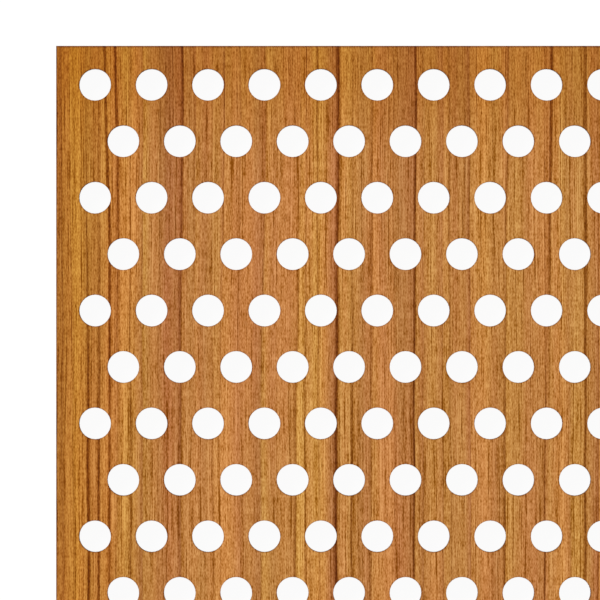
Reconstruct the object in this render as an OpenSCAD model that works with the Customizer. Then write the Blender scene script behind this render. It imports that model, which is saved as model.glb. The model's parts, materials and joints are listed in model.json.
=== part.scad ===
// Perforated acoustic wood panel: a square board drilled right through
// with staggered rows of round holes, and a plain margin round its edges.
// It lies on its back with the face side up. The grain runs along Y,
// and +Y is the top edge when the panel is on a wall.

/* [Board] */
// Width of the panel, along X
panel_w = 598; // [100:1:700]
// Height of the panel on a wall, along Y
panel_h = 598; // [100:1:700]
// Thickness of the board
panel_t = 12; // [6:0.5:25]
// Width of the small bevel that eases the edges of both faces
arris = 0.5; // [0.1:0.1:2]

/* [Perforation] */
// Diameter of a hole
hole_d = 9; // [4:0.5:12]
// Spacing of hole centres along a row
hole_pitch = 16; // [14:0.5:40]
// Spacing of the rows
row_pitch = 16; // [14:0.5:40]
// Least distance from the panel's edge to the centre of a hole
edge_margin = 11; // [9:0.5:40]

/* [Hidden] */
$fn = 48;

// How far a drill runs past each face
drill_over = 1;
// Holes in a full row. Every second row is one hole short, which staggers it by half a pitch
full_row = floor((panel_w - 2 * edge_margin) / hole_pitch) + 1;
rows = floor((panel_h - 2 * edge_margin) / row_pitch) + 1;

// Place of item i in an evenly spaced run of the given count, centred on 0
function centred(i, count, pitch) = (i - (count - 1) / 2) * pitch;

// Section through the board, with its four long edges eased
module board_section(width) {
    side = width / 2;
    polygon([
        [-side + arris, 0], [side - arris, 0],
        [side, arris], [side, panel_t - arris],
        [side - arris, panel_t], [-side + arris, panel_t],
        [-side, panel_t - arris], [-side, arris]
    ]);
}

// The board before drilling: the two sections cross, so the bevels meet in mitres at the corners
module board() {
    intersection() {
        rotate([90, 0, 0]) linear_extrude(height = panel_h, center = true) board_section(panel_w);
        rotate([90, 0, 90]) linear_extrude(height = panel_w, center = true) board_section(panel_h);
    }
}

// One row of holes, from the left, at the origin's height
module hole_row(count) {
    for (i = [0 : count - 1])
        translate([centred(i, count, hole_pitch), 0, -drill_over])
            cylinder(h = panel_t + 2 * drill_over, d = hole_d);
}

// All rows, from the top edge down. The first row is a full one
module perforation() {
    for (row = [0 : rows - 1])
        translate([0, -centred(row, rows, row_pitch), 0])
            hole_row(full_row - row % 2);
}

module perforated_panel() {
    color("peru") difference() {
        board();
        perforation();
    }
}

perforated_panel();
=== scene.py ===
"""Perforated acoustic wood panel: a drilled teak board that lies face up, seen straight from above."""

import json
from typing import NamedTuple

import bpy
import numpy as np
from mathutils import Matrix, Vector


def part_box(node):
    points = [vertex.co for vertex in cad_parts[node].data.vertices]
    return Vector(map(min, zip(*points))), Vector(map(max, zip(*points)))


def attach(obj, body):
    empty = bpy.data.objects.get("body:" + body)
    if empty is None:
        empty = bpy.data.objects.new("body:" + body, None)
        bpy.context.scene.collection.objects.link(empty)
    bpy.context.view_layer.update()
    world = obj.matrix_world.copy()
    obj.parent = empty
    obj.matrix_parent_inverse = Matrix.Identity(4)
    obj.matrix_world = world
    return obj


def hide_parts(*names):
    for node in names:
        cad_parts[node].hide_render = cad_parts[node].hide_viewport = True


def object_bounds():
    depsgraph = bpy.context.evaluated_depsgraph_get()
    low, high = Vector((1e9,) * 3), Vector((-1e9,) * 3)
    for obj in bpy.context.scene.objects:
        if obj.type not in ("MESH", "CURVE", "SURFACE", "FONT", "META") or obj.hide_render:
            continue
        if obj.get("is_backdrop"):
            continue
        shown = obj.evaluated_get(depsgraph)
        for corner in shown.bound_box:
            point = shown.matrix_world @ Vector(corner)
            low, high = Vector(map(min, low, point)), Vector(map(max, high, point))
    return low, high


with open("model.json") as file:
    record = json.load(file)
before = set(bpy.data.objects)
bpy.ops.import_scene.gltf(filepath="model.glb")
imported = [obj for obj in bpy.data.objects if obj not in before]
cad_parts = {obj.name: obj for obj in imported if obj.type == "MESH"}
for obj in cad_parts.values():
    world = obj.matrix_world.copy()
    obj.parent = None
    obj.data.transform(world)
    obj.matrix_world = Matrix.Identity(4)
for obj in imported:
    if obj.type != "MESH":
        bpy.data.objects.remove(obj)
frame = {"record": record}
cad_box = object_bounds()

# The board, with its box and first hole from the frame. Lengths are in metres unless a name ends in _mm
MM = 0.001
low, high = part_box("perforated_panel")
board_w, board_h, board_t = high - low
mounts = {mount["name"]: mount for mount in frame["record"]["mounts"]}
first_hole = mounts["corner_hole_top_left"]
first_x, first_y = first_hole["pos_m"][:2]
hole_r = first_hole["dims"]["r_mm"] * MM
hole_pitch = 16 * MM
row_pitch = 16 * MM
arris = 0.5 * MM
full_row = round(-2 * first_x / hole_pitch) + 1
rows = round(2 * first_y / row_pitch) + 1
hole_sides = 28


class Wire:
    """An output socket of a node tree. Arithmetic on a wire adds Math nodes to its tree."""

    def __init__(self, tree, socket=None):
        self.tree = tree
        self.socket = socket

    def node(self, kind, inputs=None, output=0, stops=None, **settings):
        """Adds a node: its settings first, then a value, a wire or a list of wires for each socket."""
        made = self.tree.nodes.new(kind)
        for name, value in settings.items():
            setattr(made, name, value)
        if stops:
            ramp = made.color_ramp.elements
            while len(ramp) < len(stops):
                ramp.new(1)
            for element, (position, colour) in zip(ramp, stops, strict=True):
                element.position = position
                element.color = (*colour, 1)
        for key, value in (inputs or {}).items():
            for item in value if isinstance(value, list) else [value]:
                if isinstance(item, Wire):
                    self.tree.links.new(item.socket, made.inputs[key])
                else:
                    made.inputs[key].default_value = item
        return Wire(self.tree, made.outputs[output])

    def sister(self, output):
        """Another output of the node that this wire comes from."""
        return Wire(self.tree, self.socket.node.outputs[output])

    def math(self, operation, *values):
        return self.node("ShaderNodeMath", dict(enumerate(values)), operation=operation)

    def __add__(self, other):
        return self.math("ADD", self, other)

    def __radd__(self, other):
        return self.math("ADD", other, self)

    def __sub__(self, other):
        return self.math("SUBTRACT", self, other)

    def __rsub__(self, other):
        return self.math("SUBTRACT", other, self)

    def __mul__(self, other):
        return self.math("MULTIPLY", self, other)

    def __rmul__(self, other):
        return self.math("MULTIPLY", other, self)

    def __truediv__(self, other):
        return self.math("DIVIDE", self, other)

    def __pow__(self, other):
        return self.math("POWER", self, other)

    def __abs__(self):
        return self.math("ABSOLUTE", self)

    def __round__(self):
        return self.math("ROUND", self)

    def larger(self, other):
        return self.math("MAXIMUM", self, other)

    def smaller(self, other):
        return self.math("MINIMUM", self, other)

    def within(self, least, most):
        return self.larger(least).smaller(most)

    def scaled(self, factor, offset):
        return self.math("MULTIPLY_ADD", self, factor, offset)

    def rises(self, start, end):
        """0 below start and 1 above end, with a smooth step between."""
        limits = {"Value": self, "From Min": start, "From Max": end}
        return self.node("ShaderNodeMapRange", limits, interpolation_type="SMOOTHSTEP")


def new_object(name, data):
    """An object that is in the scene."""
    made = bpy.data.objects.new(name, data)
    bpy.context.scene.collection.objects.link(made)
    return made


# Drilled board

SOCKETS = {float: "NodeSocketFloat", int: "NodeSocketInt", bpy.types.Material: "NodeSocketMaterial"}
BOARD_INPUTS = {
    "Width": float,
    "Height": float,
    "Thickness": float,
    "Arris": float,
    "Hole Radius": float,
    "Hole Pitch": float,
    "Row Pitch": float,
    "Holes In Full Row": int,
    "Rows": int,
    "Hole Sides": int,
    "Finish": bpy.types.Material,
}
# Points nearer to each other than this share of the arris become one
weld_share = 0.02


def joined(*shapes):
    return shapes[0].node("GeometryNodeJoinGeometry", {0: list(shapes)})


def welded(shape, sizes):
    near = {"Geometry": shape, "Distance": sizes["Arris"] * weld_share}
    return shape.node("GeometryNodeMergeByDistance", near)


def copied_to(points, shape):
    copies = points.node("GeometryNodeInstanceOnPoints", {"Points": points, "Instance": shape})
    return points.node("GeometryNodeRealizeInstances", {0: copies})


def moved(shape, axis, distance):
    step = shape.node("ShaderNodeCombineXYZ", {axis: distance})
    return shape.node("GeometryNodeTransform", {"Geometry": shape, "Translation": step})


def flipped(shape):
    return shape.node("GeometryNodeFlipFaces", {"Mesh": shape})


def shaded(shape, smooth):
    look = {"Geometry": shape, "Shade Smooth": smooth}
    return shape.node("GeometryNodeSetShadeSmooth", look, domain="FACE")


def part_of_place(wire, axis):
    place = wire.node("GeometryNodeInputPosition")
    return place.node("ShaderNodeSeparateXYZ", {0: place}, output=axis)


def is_border(shape):
    """True on an edge that has one face."""
    faces = shape.node("GeometryNodeInputMeshEdgeNeighbors")
    return faces.math("COMPARE", faces, 1, 0.5)


def hole_centres(sizes):
    """Points at the holes: the full rows, and between them the rows that are one hole short."""

    def every_other_row(holes, row_count):
        grid = {
            "Size X": (holes - 1) * sizes["Hole Pitch"],
            "Size Y": (row_count - 1) * sizes["Row Pitch"] * 2,
            "Vertices X": holes,
            "Vertices Y": row_count,
        }
        return holes.node("GeometryNodeMeshGrid", grid)

    full = sizes["Holes In Full Row"]
    full_rows = every_other_row(full, (sizes["Rows"] + 1) / 2)
    short_rows = every_other_row(full - 1, (sizes["Rows"] - 1) / 2)
    return joined(full_rows, short_rows)


def perforated_face(sizes, centres):
    """A face at height 0, less the holes: a strip for each row, and a thin one at either end."""
    pitch, row_count = sizes["Row Pitch"], sizes["Rows"]
    flat_w = sizes["Width"] - 2 * sizes["Arris"]
    flat_h = sizes["Height"] - 2 * sizes["Arris"]
    field_h = row_count * pitch

    def strip(strip_h):
        grid = {
            "Size X": flat_w,
            "Size Y": strip_h,
            "Vertices X": sizes["Holes In Full Row"] + 1,
            "Vertices Y": 2,
        }
        return flat_w.node("GeometryNodeMeshGrid", grid)

    lowest_row = flat_w.node("ShaderNodeCombineXYZ", {"Y": (pitch - field_h) / 2})
    to_next = flat_w.node("ShaderNodeCombineXYZ", {"Y": pitch})
    spread = {"Count": row_count, "Start Location": lowest_row, "Offset": to_next}
    row_strips = copied_to(flat_w.node("GeometryNodeMeshLine", spread), strip(pitch))
    thin = strip((flat_h - field_h) / 2)
    thin_y = (flat_h + field_h) / 4
    strips = joined(row_strips, moved(thin, "Y", thin_y), moved(thin, "Y", 0 - thin_y))
    outlines = strips.node("GeometryNodeMeshToCurve", {"Mesh": strips, "Selection": is_border(strips)})
    circle = {"Resolution": sizes["Hole Sides"], "Radius": sizes["Hole Radius"]}
    rims = copied_to(centres, centres.node("GeometryNodeCurvePrimitiveCircle", circle))
    drawing = joined(outlines, rims)
    row_number = round(part_of_place(drawing, "Y") / pitch)
    by_row = {"Curve": drawing, "Group ID": row_number}
    face = drawing.node("GeometryNodeFillCurve", by_row, mode="TRIANGLES")
    return shaded(welded(face, sizes), False)


def hole_walls(sizes, centres):
    """The drilled holes, which face their own axes."""
    bore = {
        "Vertices": sizes["Hole Sides"],
        "Radius": sizes["Hole Radius"],
        "Depth": sizes["Thickness"],
    }
    wall = centres.node("GeometryNodeMeshCylinder", bore, fill_type="NONE")
    walls = moved(copied_to(centres, wall), "Z", sizes["Thickness"] / 2)
    return shaded(flipped(walls), True)


def with_outer_edge(front, sizes):
    """The front with its outline drawn down to the back: an arris, the plain side and an arris again."""
    ease, deep = sizes["Arris"], sizes["Thickness"]
    nearly = ease / 4
    flat_side = {"X": sizes["Width"] / 2 - ease, "Y": sizes["Height"] / 2 - ease}

    def side(axis):
        """-1 or 1 at the board's outline and 0 inside it."""
        place = part_of_place(front, axis)
        reached = place.math("GREATER_THAN", abs(place), flat_side[axis] - nearly)
        return place.math("SIGN", place) * reached

    at_outline = abs(side("X")).larger(abs(side("Y")))
    shape, chosen = front, is_border(front) * at_outline
    for outwards, height in ((ease, deep - ease), (0, ease), (0 - ease, 0)):
        place = {axis: part_of_place(front, axis) + side(axis) * outwards for axis in "XY"}
        ring = front.node("ShaderNodeCombineXYZ", place | {"Z": height})
        outline = {"Mesh": shape, "Selection": chosen, "Offset Scale": 0.0}
        longer = front.node("GeometryNodeExtrudeMesh", outline, mode="EDGES")
        chosen = longer.sister("Top")
        lowered = {"Geometry": longer, "Selection": chosen, "Position": ring}
        shape = front.node("GeometryNodeSetPosition", lowered)
    return shape


def drilled_board_tree():
    """Geometry nodes that make the board: two perforated faces, the hole walls and the outer edge."""
    tree = bpy.data.node_groups.new("drilled_board", "GeometryNodeTree")
    for name, kind in BOARD_INPUTS.items():
        tree.interface.new_socket(name, in_out="INPUT", socket_type=SOCKETS[kind])
    tree.interface.new_socket("Board", in_out="OUTPUT", socket_type="NodeSocketGeometry")
    start = Wire(tree).node("NodeGroupInput")
    sizes = {name: start.sister(name) for name in BOARD_INPUTS}

    centres = hole_centres(sizes)
    face = perforated_face(sizes, centres)
    front = with_outer_edge(moved(face, "Z", sizes["Thickness"]), sizes)
    whole = welded(joined(front, flipped(face), hole_walls(sizes, centres)), sizes)
    real = start.node("GeometryNodeRealizeInstances", {0: whole})
    finished = start.node("GeometryNodeSetMaterial", {"Geometry": real, "Material": sizes["Finish"]})
    tree.links.new(finished.socket, tree.nodes.new("NodeGroupOutput").inputs[0])
    return tree


def made_by(tree, name, values):
    """A plain mesh object from a geometry node tree and the values of its inputs."""
    piece = new_object(name, bpy.data.meshes.new(name))
    modifier = piece.modifiers.new(name, "NODES")
    modifier.node_group = tree
    for item in tree.interface.items_tree:
        if item.in_out == "INPUT":
            modifier[item.identifier] = values[item.name]
    shape = piece.evaluated_get(bpy.context.evaluated_depsgraph_get())
    mesh = bpy.data.meshes.new_from_object(shape)
    if mesh.materials[0] is None:
        mesh.materials.pop(index=0)
    piece.modifiers.clear()
    piece.data = mesh
    return piece


# Map for baked finishes

# Share of the map's height for the front, and for the gap between it and the back
map_front = 0.84
map_gap = 0.01
# How far the outer edge is folded out, and how far the holes' walls are drawn in to their axes
edge_fold = 6 * MM
hole_funnel = 0.8
# A face that looks up or down by more than this is flat
flat_facing = 0.9


def numbers(items, name, kind, width):
    """One value or vector of each item, as rows of the given width."""
    found = np.empty(len(items) * width, kind)
    items.foreach_get(name, found)
    return found.reshape(-1, width)


def nearest_hole(places):
    """The centre of the hole nearest to each place, by the staggered rows."""
    row = np.clip(np.round((first_y - places[:, 1]) / row_pitch), 0, rows - 1)
    is_short = row % 2
    step = (places[:, 0] - first_x) / hole_pitch - is_short / 2
    hole = np.clip(np.round(step), 0, full_row - 1 - is_short)
    x = first_x + (hole + is_short / 2) * hole_pitch
    return np.stack([x, first_y - row * row_pitch], 1)


def lay_out(piece):
    """Lays the piece out flat: the front, with each hole's wall drawn in towards its axis and the outer
    edge folded outwards, and above it the back, which gets less room along the grain."""
    mesh = piece.data
    corner = numbers(mesh.loops, "vertex_index", np.int32, 1)[:, 0]
    place = numbers(mesh.vertices, "co", np.float32, 3)[corner]
    sides = numbers(mesh.polygons, "loop_total", np.int32, 1)[:, 0]
    facing = np.repeat(numbers(mesh.polygons, "normal", np.float32, 3), sides, axis=0)
    flat = place[:, :2].astype(float)
    depth = 1 - place[:, 2:] / board_t
    half = np.array([board_w, board_h]) / 2
    is_flat = np.abs(facing[:, 2:]) > flat_facing
    is_outer = (np.abs(flat) > half - 2 * arris).any(1, keepdims=True) & ~is_flat
    is_wall = ~is_flat & ~is_outer
    axis = nearest_hole(flat)
    flat = np.where(is_wall, axis + (flat - axis) * (1 - hole_funnel * depth), flat)
    flat = np.where(is_outer, flat + np.sign(facing[:, :2].round(1)) * edge_fold * depth, flat)
    room = half + edge_fold
    uv = (flat + room) / (2 * room)
    is_back = facing[:, 2] < -flat_facing
    back_start = map_front + map_gap
    on_back = back_start + uv[:, 1] * (1 - back_start)
    uv[:, 1] = np.where(is_back, on_back, uv[:, 1] * map_front)
    mesh.uv_layers.new(name="OFBake").uv.foreach_set("vector", uv.astype(np.float32).ravel())


# Teak, with places in millimetres across the grain from the left edge and along it from the top edge


class Ring(NamedTuple):
    """The edge of a growth ring: a dark line, red-brown wood on its left and golden wood on its right.
    The line drifts sideways until drift_end_mm. Along the run it goes from its top strength to its low
    one, and the red-brown wood with it. The golden wood goes to gold_lasts times its own strength."""

    at_mm: float
    drift_mm: float
    top: float
    low: float
    width_mm: float
    red: float = 0
    red_mm: float = 1
    gold: float = 0
    gold_mm: float = 1
    gold_lasts: float = 1
    drift_end_mm: float = 155


class FurtherRings(NamedTuple):
    """Rings at about even spacing: the width of their dark lines, and how strong the lines, the
    red-brown wood and the golden wood are."""

    spacing_mm: float
    width_mm: float
    line: float
    red: float
    gold: float


class Waves(NamedTuple):
    """A layer of smooth noise: the length of its waves across the grain, along it and into the board,
    its strength, its shift across the grain, counted in waves, and its finer detail."""

    across_mm: float
    along_mm: float
    into_mm: float
    strength: float = 1
    shift: float = 0
    detail: float = 0


ring_run_mm = 155
# Width of the step at a line, where red-brown wood ends or golden wood starts
ring_step_mm = 0.3
RINGS = [
    Ring(1.3, 0.8, 0.35, 0.25, 0.5, red=0.6, red_mm=5),
    Ring(3.8, 1.4, 0.00, 0.60, 0.5, gold=0.6, gold_mm=6),
    Ring(8.4, 0.9, 0.25, 1.50, 0.65, gold=0.5, gold_mm=4),
    Ring(12.1, 0.1, 0.25, 1.00, 0.6, red=0.4, red_mm=3),
    Ring(13.7, 1.5, 1.15, 1.00, 0.65, gold=0.3, gold_mm=3, drift_end_mm=60),
    Ring(16.6, 0.9, 1.15, 0.15, 0.65, gold=0.6, gold_mm=4, drift_end_mm=36),
    Ring(20.8, 0.5, 0.25, 0.65, 0.5, red=0.25, red_mm=2),
    Ring(24.4, 0.3, 0.20, 0.20, 0.5, red=0.6, red_mm=3.5, gold=1.0, gold_mm=5),
    Ring(29.3, -0.3, 0.25, 0.35, 0.5),
    Ring(35.6, -0.3, 0.95, 0.50, 0.65, red=1.45, red_mm=11, gold=0.1, gold_mm=7, gold_lasts=4),
    Ring(39.2, 0.0, 0.15, 0.00, 0.5, red=0.7, red_mm=3.6),
    Ring(44.0, 0.5, 0.20, 0.40, 0.5, gold=0.1, gold_mm=8, gold_lasts=3.5),
    Ring(47.5, -1.2, 0.40, 0.10, 0.5, red=0.7, red_mm=4),
    Ring(52.0, 0.0, 0.20, 0.12, 0.5, red=0.35, red_mm=8),
    Ring(59.2, -1.3, 0.35, 0.30, 0.6, red=0.45, red_mm=7, gold=1.2, gold_mm=9),
    Ring(69.2, -1.6, 0.25, 0.95, 0.6, red=0.4, red_mm=3, gold=0.7, gold_mm=8),
    Ring(70.8, -0.3, 0.35, 0.50, 0.5),
    Ring(73.9, 0.6, 0.85, 0.40, 0.5, red=0.15, red_mm=3),
    Ring(80.0, -0.8, 1.15, 1.15, 0.85, red=1.1, red_mm=3.5, gold=1.0, gold_mm=14),
    Ring(84.1, -0.6, 0.30, 0.90, 0.55),
    Ring(89.5, -0.7, 0.50, 0.55, 0.6, red=0.15, red_mm=4),
    Ring(95.6, 0.3, 0.35, 0.20, 0.5, red=0.2, red_mm=2),
    Ring(101.9, -0.6, 1.00, 0.95, 0.6, red=1.15, red_mm=6.5),
    Ring(104.2, -0.3, 0.15, 0.25, 0.5, red=0.6, red_mm=2.5),
    Ring(109.5, 0.0, 0.20, 0.30, 0.5, red=0.5, red_mm=7),
    Ring(111.4, 0.4, 0.55, 0.40, 0.5, red=0.15, red_mm=3),
    Ring(117.2, 0.0, 0.35, 0.30, 0.5, red=1.0, red_mm=7, gold=0.15, gold_mm=8),
    Ring(123.8, -0.2, 0.15, 0.20, 0.5),
    Ring(128.4, -1.4, 0.50, 0.75, 0.6, red=0.6, red_mm=3, gold=0.25, gold_mm=9, drift_end_mm=90),
    Ring(138.7, -0.3, 0.25, 0.90, 0.5, red=0.3, red_mm=4),
    Ring(
        140.7, -1.2, 1.25, 0.00, 0.65,
        red=0.3, red_mm=4, gold=1.0, gold_mm=11, gold_lasts=0.6, drift_end_mm=90,
    ),
    Ring(143.0, -0.4, 0.20, 0.25, 0.5),
    Ring(144.7, 0.9, 0.10, 0.40, 0.5, red=0.15, red_mm=3, gold=1.0, gold_mm=6, gold_lasts=0.6),
    Ring(149.9, 0.0, 0.90, 1.00, 0.65),
    Ring(153.6, 0.0, 0.15, 0.60, 0.5, red=0.85, red_mm=6),
]
# From here on, further rings follow in the same manner: wide ones with a band, and narrow ones
further_rings_mm = (152.5, 153.5)
FURTHER_RINGS = [
    FurtherRings(19, 0.8, 1.0, 0.9, 0.7),
    FurtherRings(6.3, 0.6, 0.7, 0.2, 0.1),
]
LINE_FADING = Waves(6, 45, 30, 0.7)

# The grain wanders slowly, bends a little and trembles, and leans as it goes down into the board
WANDER = [
    Waves(80, 110, 60),
    Waves(25, 32, 40, 0.8, shift=40),
    Waves(1.6, 5, 5, 0.07),
]
grain_lean = 0.35

# Marks of the grain, from broad streaks to fine specks
BROAD_STREAKS = [
    Waves(14, 300, 60, 1.15),
    Waves(4, 400, 30, 1.35),
]
HUE_STREAKS = [
    Waves(9, 140, 40, shift=30),
    Waves(3, 90, 20, 0.6, shift=50),
]
RIPPLE = Waves(7, 1.6, 4, 0.38, detail=1)
RIPPLE_PATCHES = Waves(35, 30, 30)
VEINS = Waves(2.4, 300, 10, shift=60)
VEIN_LENGTHS = Waves(2.5, 60, 10)
PORES = Waves(0.36, 24, 5, shift=90)
THREADS = [
    Waves(1.6, 200, 12, 0.08),
    Waves(0.75, 150, 8, 0.14),
    Waves(0.36, 80, 6, 0.90),
    Waves(0.33, 14, 5, 0.80),
]
SPECKS = [
    Waves(0.30, 2.5, 4, 0.88),
    Waves(0.26, 0.78, 2, 0.98),
]
# The board's face lies just off a plane of the noise's own grid, where the waves are the most even
noise_slice = 0.05

# Levels of the noise at which a mark starts and at which it is full. Veins are full at level 0
further_ring_step = (-0.2, 0.25)
hue_step = (-0.25, 0.3)
patch_step = (-0.08, 0.2)
vein_step = (0.0, 0.09)
vein_length_step = (-0.15, 0.3)
pore_step = (0.10, 0.3)

# Strong threads are sharpened, the dark ones a little more than the pale
thread_level = 0.46
thread_lean = 0.7
thread_sharpness = 7.8
speck_level = 0.92

# Colours of the wood by its tone, from dark to light, and how far each dark mark lowers the tone
WOOD_TONES = [
    (0.03, (0.225, 0.060, 0.000)),
    (0.17, (0.310, 0.099, 0.007)),
    (0.37, (0.414, 0.152, 0.027)),
    (0.50, (0.477, 0.188, 0.043)),
    (0.63, (0.538, 0.225, 0.059)),
    (0.83, (0.622, 0.286, 0.085)),
    (0.97, (0.677, 0.326, 0.104)),
]
plain_tone = 0.582
pore_depth = 0.12
vein_depth = 0.09
line_depth = 0.30

# Tints, which multiply the colour of the wood
DEEP_STREAK = (0.86, 0.79, 0.90, 1)
PALE_STREAK = (1.14, 1.21, 1.10, 1)
OLIVE_STREAK = (0.97, 1.035, 0.985, 1)
ROSE_STREAK = (1.03, 0.97, 1.065, 1)
GOLDEN_WOOD = (1.11, 1.22, 1.12, 1)
RED_BROWN_WOOD = (0.77, 0.66, 0.80, 1)
RING_LINE = (0.50, 0.33, 0.10, 1)
SIDE_MARGIN = (0.96, 0.90, 0.50, 1)
END_MARGIN = (0.86, 0.77, 0.50, 1)
# Painted shade on the arris, down the outer sides, round the rims of the holes and on their walls
RIM_SHADE = (0.55, 0.47, 0.45, 1)
END_GRAIN = (0.60, 0.52, 0.48, 1)

# Where the finish's tints and painted shade start and end, from the outline or from the rim of a hole
side_margin_mm = (1, 32)
end_margin_mm = (3, 40)
# Painted shade on the arris and round the holes, and how strong it is at the holes
arris_shade_mm = (0.1, 0.7)
hole_rim_shade_mm = 0.4
hole_rim_shade_depth = 0.6
# How squarely a face looks along the grain where it starts to be end grain and where it is wholly so
end_grain_facing = (0.6, 0.95)
end_grain_depth = 0.7

# Surface: relief of the threads and pores, and a satin that is rougher in pores and ring lines
raised_threads = 3
pore_relief = 0.3
satin_roughness = 0.5
pore_roughness = 0.2
line_roughness = 0.1


def colour_mix(factor, first, second, blend="MIX"):
    maker = factor if isinstance(factor, Wire) else first
    return maker.node(
        "ShaderNodeMix",
        {0: factor, 6: first, 7: second},
        output=2,
        data_type="RGBA",
        blend_type=blend,
    )


def tinted(wood, tint, amount=1):
    return colour_mix(amount, wood, tint, "MULTIPLY")


def waves(layer, across, along, into):
    """The noise of a layer, from about -0.5 to 0.5 times its strength."""
    place = {
        "X": across / layer.across_mm + layer.shift,
        "Y": along / layer.along_mm,
        "Z": into / layer.into_mm + noise_slice,
    }
    vector = across.node("ShaderNodeCombineXYZ", place)
    look = {"Vector": vector, "Scale": 1.0, "Detail": layer.detail}
    return (across.node("ShaderNodeTexNoise", look, output="Fac") - 0.5) * layer.strength


def all_waves(layers, across, along, into):
    return [waves(layer, across, along, into) for layer in layers]


def distance_to_hole_mm(across, along):
    """Distance to the centre of the nearest hole, worked out from the staggered rows."""
    hole_mm, row_mm = hole_pitch / MM, row_pitch / MM
    margin_mm = (board_w / 2 + first_x) / MM
    row = round((along - margin_mm) / row_mm).within(0, rows - 1)
    is_short = row.math("FLOORED_MODULO", row, 2)
    step = (across - margin_mm) / hole_mm - is_short / 2
    hole = round(step).within(0, full_row - 1 - is_short)
    off_x = (step - hole) * hole_mm
    off_y = along - margin_mm - row * row_mm
    return (off_x * off_x + off_y * off_y) ** 0.5


def further_marks(kind, grain, along, into):
    """Strengths of the dark lines, red-brown wood and golden wood of one kind of further rings."""
    bend = Waves(1.6 * kind.spacing_mm, 500, 200, 1.2)
    turn = grain / kind.spacing_mm + waves(bend, grain, along, into)
    phase = turn.math("FRACT", turn)
    presence = Waves(1.1 * kind.spacing_mm, 120, 90, shift=7)
    strength = waves(presence, grain, along, into).rises(*further_ring_step)
    left_of = (1 - kind.width_mm / kind.spacing_mm - phase) * kind.spacing_mm
    line = abs(left_of).scaled(-1 / kind.width_mm, 1) * strength * kind.line
    before = left_of.scaled(1 / ring_step_mm, 1).within(0, 1)
    red = phase**3 * before * strength * kind.red
    gold = (1 - 2 * phase) * strength * kind.gold
    return line, red, gold


def ring_marks(grain, along, into):
    """Strengths of the dark ring lines, the red-brown wood before them and the golden wood after."""
    down = along.rises(0, ring_run_mm)
    lines = reds = golds = 0 * down
    for ring in RINGS:
        left_of = along.rises(0, ring.drift_end_mm).scaled(ring.drift_mm, ring.at_mm) - grain
        strength = down.scaled(ring.low - ring.top, ring.top)
        lines = lines.larger(abs(left_of).scaled(-1 / ring.width_mm, 1) * strength)
        if ring.red:
            fades = left_of.scaled(-1 / ring.red_mm, 1).smaller(left_of.scaled(1 / ring_step_mm, 1))
            reds = reds.larger(fades * strength * (ring.red / max(ring.top, ring.low)))
        if ring.gold:
            fades = left_of.scaled(1 / ring.gold_mm, 1).smaller(left_of.scaled(-1 / ring_step_mm, 1))
            lasting = down.scaled(ring.gold_lasts - 1, 1)
            golds = golds.larger(fades * lasting * ring.gold)

    further = grain.rises(*further_rings_mm)
    for kind in FURTHER_RINGS:
        line, red, gold = further_marks(kind, grain, along, into)
        lines = lines.larger(line * further)
        reds = reds.larger(red * further)
        golds = golds.larger(gold * further)
    fading = 1 + waves(LINE_FADING, grain, along, into)
    return lines * fading.within(0, 1), reds, golds


def oiled_with_painted_shade(wood, across, along, facing_y):
    """The finish, deeper near the outline and dark on end grain, with painted shade at the edges and
    holes.
    """
    middle_x_mm, middle_y_mm = board_w / 2 / MM, board_h / 2 / MM
    to_side = middle_x_mm - abs(across - middle_x_mm)
    to_end = middle_y_mm - abs(along - middle_y_mm)
    to_edge = to_side.smaller(to_end)
    wood = tinted(wood, SIDE_MARGIN, 1 - to_side.rises(*side_margin_mm))
    wood = tinted(wood, END_MARGIN, 1 - to_end.rises(*end_margin_mm))
    # Painted shade: on the arris and down the outer sides, and round the rims of the holes and on their
    # walls
    hole_r_mm = hole_r / MM
    hole_rim_shade = 1 - distance_to_hole_mm(across, along).rises(hole_r_mm, hole_r_mm + hole_rim_shade_mm)
    arris_shade = 1 - to_edge.rises(*arris_shade_mm)
    wood = tinted(wood, RIM_SHADE, (hole_rim_shade_depth * hole_rim_shade).larger(arris_shade))
    end_grain = abs(facing_y).rises(*end_grain_facing)
    return tinted(wood, END_GRAIN, end_grain * end_grain_depth)


def empty_tree(owner):
    owner.use_nodes = True
    owner.node_tree.nodes.clear()
    return owner.node_tree


def show(surface, output):
    """Ends a tree with its output node."""
    end = surface.tree.nodes.new(output)
    surface.tree.links.new(surface.socket, end.inputs["Surface"])


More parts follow.
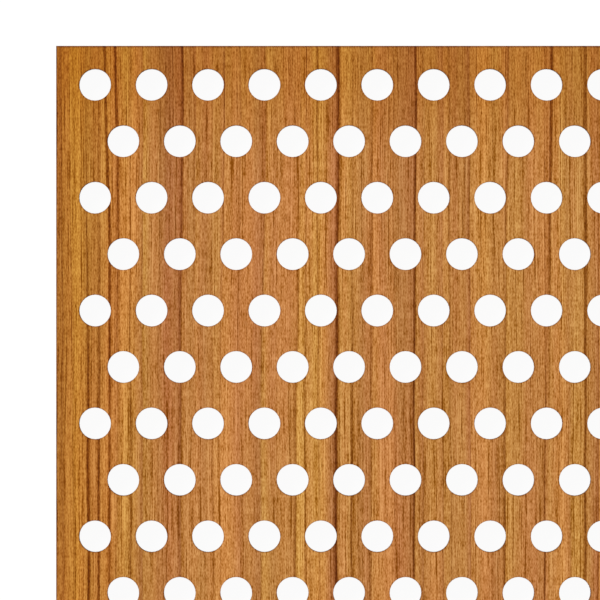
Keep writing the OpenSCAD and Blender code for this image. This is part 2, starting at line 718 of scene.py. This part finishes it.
def oiled_teak():
    material = bpy.data.materials.new("oiled_teak")
    place = Wire(empty_tree(material)).node("ShaderNodeTexCoord", output="Object")
    x = place.node("ShaderNodeSeparateXYZ", {0: place}, output="X")
    y, z = x.sister("Y"), x.sister("Z")
    facing = place.sister("Normal")
    facing_y = facing.node("ShaderNodeSeparateXYZ", {0: facing}, output="Y")
    across = (x + board_w / 2) / MM
    along = (board_h / 2 - y) / MM
    into = (board_t - z) / MM
    grain = sum(all_waves(WANDER, across, along, into), across) + grain_lean * into
    lines, reds, golds = ring_marks(grain, along, into)

    # Tone: threads along the grain, specks, patches with a ripple across the grain, dark pores and veins
    strands = all_waves(THREADS, grain, along, into)
    threads = sum(strands[1:], strands[0])
    threads = threads * (thread_level - thread_lean * threads + thread_sharpness * threads * threads)
    patches = waves(RIPPLE_PATCHES, across, along, into).rises(*patch_step)
    ripple = patches * waves(RIPPLE, across, along, into)
    specks = speck_level * sum(all_waves(SPECKS, grain, along, into), ripple)
    pores = waves(PORES, grain, along, into).rises(*pore_step)
    veins = 1 - abs(waves(VEINS, grain, along, into)).rises(*vein_step)
    veins = veins * waves(VEIN_LENGTHS, grain, along, into).rises(*vein_length_step)
    dark_marks = pore_depth * pores + vein_depth * veins + line_depth * lines
    tone = plain_tone + threads + specks - dark_marks

    # Colour: the tone's own, with broad deep and pale streaks, a change of hue, and the rings
    wood = tone.node("ShaderNodeValToRGB", {"Fac": tone}, stops=WOOD_TONES)
    broad = sum(all_waves(BROAD_STREAKS, grain, along, into), 0.5)
    wood = tinted(wood, colour_mix(broad, DEEP_STREAK, PALE_STREAK))
    hues = all_waves(HUE_STREAKS, grain, along, into)
    hue = sum(hues[1:], hues[0]).rises(*hue_step)
    wood = tinted(wood, colour_mix(hue, OLIVE_STREAK, ROSE_STREAK))
    wood = tinted(wood, GOLDEN_WOOD, golds)
    wood = tinted(wood, RED_BROWN_WOOD, reds)
    wood = tinted(wood, RING_LINE, lines)

    relief = sum(strands[:raised_threads], 0 - pore_relief * pores)
    bump = {"Strength": 0.25, "Distance": 0.2 * MM, "Height": relief}
    satin = {
        "Base Color": oiled_with_painted_shade(wood, across, along, facing_y),
        "Roughness": satin_roughness + pore_roughness * pores + line_roughness * lines,
        "Specular IOR Level": 0.045,
        "Normal": tone.node("ShaderNodeBump", bump),
    }
    show(wood.node("ShaderNodeBsdfPrincipled", satin), "ShaderNodeOutputMaterial")
    return material


board = made_by(
    drilled_board_tree(),
    "drilled_board",
    {
        "Width": board_w,
        "Height": board_h,
        "Thickness": board_t,
        "Arris": arris,
        "Hole Radius": hole_r,
        "Hole Pitch": hole_pitch,
        "Row Pitch": row_pitch,
        "Holes In Full Row": full_row,
        "Rows": rows,
        "Hole Sides": hole_sides,
        "Finish": oiled_teak(),
    },
)
lay_out(board)
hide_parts("perforated_panel")
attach(board, "root")


# Floor, light and camera

# The floor is a hair below the board, so that it doesn't lie in one plane with the board's back
floor_gap = 0.1 * MM
# Where the floor is looked at, it glows and has a dark grey that takes the shadow
floor_glow = 0.95
floor_dark = 0.09
floor_pale = 0.8
camera_height = 6.0
# The photograph shows the top left corner of the board. These are its own measures, in pixels
photo_side_px = 600
photo_pitch_px = 56.36
photo_first_hole_px = (95.4, 85.1)


def grey(level):
    return (level, level, level, 1)


def looked_at(tree):
    """1 for the camera's rays and for those that are mirrored or pass through, and 0 for other light."""
    ray = Wire(tree).node("ShaderNodeLightPath", output="Is Camera Ray")
    return ray.larger(ray.sister("Is Glossy Ray")).larger(ray.sister("Is Transmission Ray"))


def pale_floor():
    """White where it is looked at, with a light shadow, and an ordinary pale surface to other light."""
    material = bpy.data.materials.new("pale_floor")
    seen = looked_at(empty_tree(material))
    glow = seen.node("ShaderNodeEmission", {"Color": grey(1), "Strength": floor_glow})
    dark = seen.node("ShaderNodeBsdfDiffuse", {"Color": grey(floor_dark)})
    white = seen.node("ShaderNodeAddShader", {0: glow, 1: dark})
    pale = seen.node("ShaderNodeBsdfDiffuse", {"Color": grey(floor_pale)})
    shown = seen.node("ShaderNodeMixShader", {0: seen, 1: pale, 2: white})
    show(shown, "ShaderNodeOutputMaterial")
    return material


def floor(half_size):
    sides = ((-1, -1), (1, -1), (1, 1), (-1, 1))
    corners = [(x * half_size, y * half_size, -floor_gap) for x, y in sides]
    mesh = bpy.data.meshes.new("floor")
    mesh.from_pydata(corners, [], [(0, 1, 2, 3)])
    mesh.materials.append(pale_floor())
    plane = new_object("floor", mesh)
    plane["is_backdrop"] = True


def studio_world(strength):
    world = bpy.data.worlds.new("studio")
    bpy.context.scene.world = world
    seen = looked_at(empty_tree(world))
    room = seen.node("ShaderNodeBackground", {"Color": grey(1), "Strength": strength})
    white = seen.node("ShaderNodeBackground", {"Color": grey(1), "Strength": 1.0})
    shown = seen.node("ShaderNodeMixShader", {0: seen, 1: room, 2: white})
    show(shown, "ShaderNodeOutputWorld")


def soft_light(name, place, size, power):
    lamp = bpy.data.lights.new(name, "AREA")
    lamp.size = size
    lamp.energy = power
    light = new_object(name, lamp)
    light.location = place
    aim = -light.location
    light.rotation_euler = aim.to_track_quat("-Z", "Y").to_euler()


def camera():
    size_of_px = hole_pitch / photo_pitch_px
    lens = bpy.data.cameras.new("camera")
    lens.lens = lens.sensor_width * camera_height / (photo_side_px * size_of_px)
    eye = new_object("camera", lens)
    eye.location = (
        first_x + (photo_side_px / 2 - photo_first_hole_px[0]) * size_of_px,
        first_y - (photo_side_px / 2 - photo_first_hole_px[1]) * size_of_px,
        camera_height,
    )
    bpy.context.scene.camera = eye


floor(half_size=6.0)
studio_world(strength=0.5)
soft_light("window", place=(-1.6, 1.2, 2.2), size=1.6, power=51)
soft_light("fill", place=(1.8, -1.4, 1.8), size=1.8, power=16)
camera()
bpy.context.scene.view_settings.view_transform = "Standard"

boxes = {"cad": cad_box, "visual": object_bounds()}
{name: [list(corner) for corner in box] for name, box in boxes.items()}
